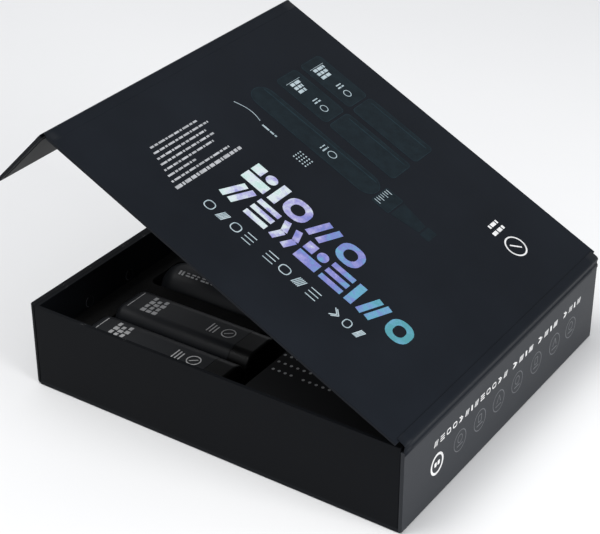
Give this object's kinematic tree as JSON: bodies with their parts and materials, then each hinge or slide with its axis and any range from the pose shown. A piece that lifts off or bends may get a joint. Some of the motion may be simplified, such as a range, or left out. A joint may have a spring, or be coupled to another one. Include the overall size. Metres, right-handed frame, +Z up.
{
  "type": "skin needling kit box",
  "caption": "Half-open rigid presentation box with a magnetic flap, holding airless bottles, a needling pen, a guide and spare cartridges in a foam insert.",
  "frame": {"origin": "middle of the base's underside", "axes": "+X runs from the flap end to the spine, +Y from the open side to the back, +Z up"},
  "size_m": [0.2944, 0.259, 0.1902],
  "materials": {
    "wrap": "matte",
    "liner": "matte",
    "foam": "matte",
    "magnet_steel": "satin",
    "bottle_shell": "matte",
    "bottle_cap": "matte",
    "pump_plastic": "gloss",
    "actuator_plastic": "satin",
    "pen_shell": "matte",
    "pen_inner": "matte",
    "key_rubber": "matte",
    "lamp_lens": "gloss",
    "ring_metal": "satin",
    "steel": "satin",
    "cell_sleeve": "satin",
    "circuit": "satin",
    "cartridge_plastic": "gloss",
    "needle_steel": "satin",
    "tip_cap_plastic": "gloss",
    "blister_film": "gloss",
    "blister_foil": "satin",
    "guide_cover": "matte",
    "guide_paper": "matte"
  },
  "bodies": {
    "box": {"base_board": "wrap", "spine_board": "wrap", "flap_end_panel": "wrap", "tray_shell": "wrap", "wall_magnets": "magnet_steel", "lower_foam": "foam", "upper_foam": "foam", "deck_card": "liner", "lid_crease": "wrap"},
    "lid": {"lid_board": "wrap", "lid_liner": "liner", "flap_crease": "wrap"},
    "flap": {"flap_board": "wrap", "flap_liner": "liner", "flap_discs": "magnet_steel"},
    "pen": {"pen_end_cap": "pen_shell", "pen_charge_socket": "steel", "pen_rear_shell": "pen_shell", "pen_power_lens": "lamp_lens", "pen_chassis": "pen_inner", "pen_cell": "cell_sleeve", "pen_circuit_board": "circuit", "pen_motor": "steel", "pen_return_spring": "steel", "pen_rod_guide": "pen_inner"},
    "power_key": {"pen_power_button": "key_rubber"},
    "cam": {"pen_swash_cam": "steel"},
    "drive_rod": {"pen_drive_rod": "pen_inner"},
    "depth_ring": {"pen_depth_ring": "ring_metal"},
    "nose": {"pen_nose": "pen_shell"},
    "cartridge": {"cartridge_body": "cartridge_plastic"},
    "needles": {"needle_plate": "needle_steel"},
    "tip_cap": {"cartridge_cap": "tip_cap_plastic"},
    "cartridge_pack": {"blister_shell": "blister_film", "blister_foil": "blister_foil", "spare_cartridge_body_set": "cartridge_plastic", "spare_needle_plate_set": "needle_steel"},
    "guide": {"guide_cover": "guide_cover", "guide_pages": "guide_paper"},
    "serum_bottle": {"serum_bottle_body": "bottle_shell", "serum_bottle_piston": "pump_plastic", "serum_bottle_shoulder": "bottle_shell", "serum_bottle_pump": "pump_plastic"},
    "serum_actuator": {"serum_bottle_actuator": "actuator_plastic"},
    "serum_cap": {"serum_bottle_cap": "bottle_cap"},
    "cleanser_bottle": {"cleanser_bottle_body": "bottle_shell", "cleanser_bottle_piston": "pump_plastic", "cleanser_bottle_shoulder": "bottle_shell", "cleanser_bottle_pump": "pump_plastic"},
    "cleanser_actuator": {"cleanser_bottle_actuator": "actuator_plastic"},
    "cleanser_cap": {"cleanser_bottle_cap": "bottle_cap"}
  },
  "joints": [
    {"name": "lid_hinge", "type": "hinge", "parent": "box", "child": "lid", "pos_m": [0.139, 0, 0.0613], "axis": [0, 1, 0], "range_deg": [-26.8, 162.7]},
    {"name": "flap_hinge", "type": "hinge", "parent": "lid", "child": "flap", "pos_m": [-0.11239, 0, 0.18907], "axis": [0, 1, 0], "range_deg": [-17.2, 72.8]},
    {"name": "pen_lift", "type": "slide", "parent": "box", "child": "pen", "axis": [0, 0, 1], "range_m": [0, 0.045]},
    {"name": "power_key_press", "type": "slide", "parent": "pen", "child": "power_key", "axis": [0, 0, -1], "range_m": [0, 0.0006], "stiffness_N_per_m": 300, "springref_m": -0.001},
    {"name": "cam_turn", "type": "hinge", "parent": "pen", "child": "cam", "pos_m": [-0.12, -0.0105, 0.0264], "axis": [1, 0, 0], "continuous": true},
    {"name": "drive_rod_slide", "type": "slide", "parent": "pen", "child": "drive_rod", "axis": [1, 0, 0], "range_m": [-0.0016, 0]},
    {"name": "depth_ring_turn", "type": "hinge", "parent": "pen", "child": "depth_ring", "pos_m": [-0.12, -0.0105, 0.0264], "axis": [1, 0, 0], "range_deg": [0, 180]},
    {"name": "nose_slide", "type": "slide", "parent": "pen", "child": "nose", "axis": [1, 0, 0], "range_m": [0, 0.0021]},
    {"name": "cartridge_pull", "type": "slide", "parent": "nose", "child": "cartridge", "axis": [1, 0, 0], "range_m": [0, 0.019]},
    {"name": "needle_slide", "type": "slide", "parent": "cartridge", "child": "needles", "axis": [1, 0, 0], "range_m": [-0.0016, 0]},
    {"name": "tip_cap_pull", "type": "slide", "parent": "cartridge", "child": "tip_cap", "axis": [1, 0, 0], "range_m": [0, 0.015]},
    {"name": "cartridge_pack_lift", "type": "slide", "parent": "box", "child": "cartridge_pack", "axis": [0, 0, 1], "range_m": [0, 0.017]},
    {"name": "guide_lift", "type": "slide", "parent": "box", "child": "guide", "axis": [0, 0, 1], "range_m": [0, 0.04]},
    {"name": "serum_bottle_lift", "type": "slide", "parent": "box", "child": "serum_bottle", "axis": [0, 0, 1], "range_m": [0, 0.045]},
    {"name": "serum_actuator_press", "type": "slide", "parent": "serum_bottle", "child": "serum_actuator", "axis": [-1, 0, 0], "range_m": [0, 0.002], "stiffness_N_per_m": 400, "springref_m": -0.001},
    {"name": "serum_cap_pull", "type": "slide", "parent": "serum_bottle", "child": "serum_cap", "axis": [1, 0, 0], "range_m": [0, 0.0155]},
    {"name": "cleanser_bottle_lift", "type": "slide", "parent": "box", "child": "cleanser_bottle", "axis": [0, 0, 1], "range_m": [0, 0.045]},
    {"name": "cleanser_actuator_press", "type": "slide", "parent": "cleanser_bottle", "child": "cleanser_actuator", "axis": [-1, 0, 0], "range_m": [0, 0.002], "stiffness_N_per_m": 400, "springref_m": -0.001},
    {"name": "cleanser_cap_pull", "type": "slide", "parent": "cleanser_bottle", "child": "cleanser_cap", "axis": [1, 0, 0], "range_m": [0, 0.0155]}
  ],
  "couplings": [
    {"joint": "nose_slide", "follows": "depth_ring_turn", "m_per_rad": 0.00063662},
    {"joint": "needle_slide", "follows": "drive_rod_slide", "ratio": 1}
  ]
}
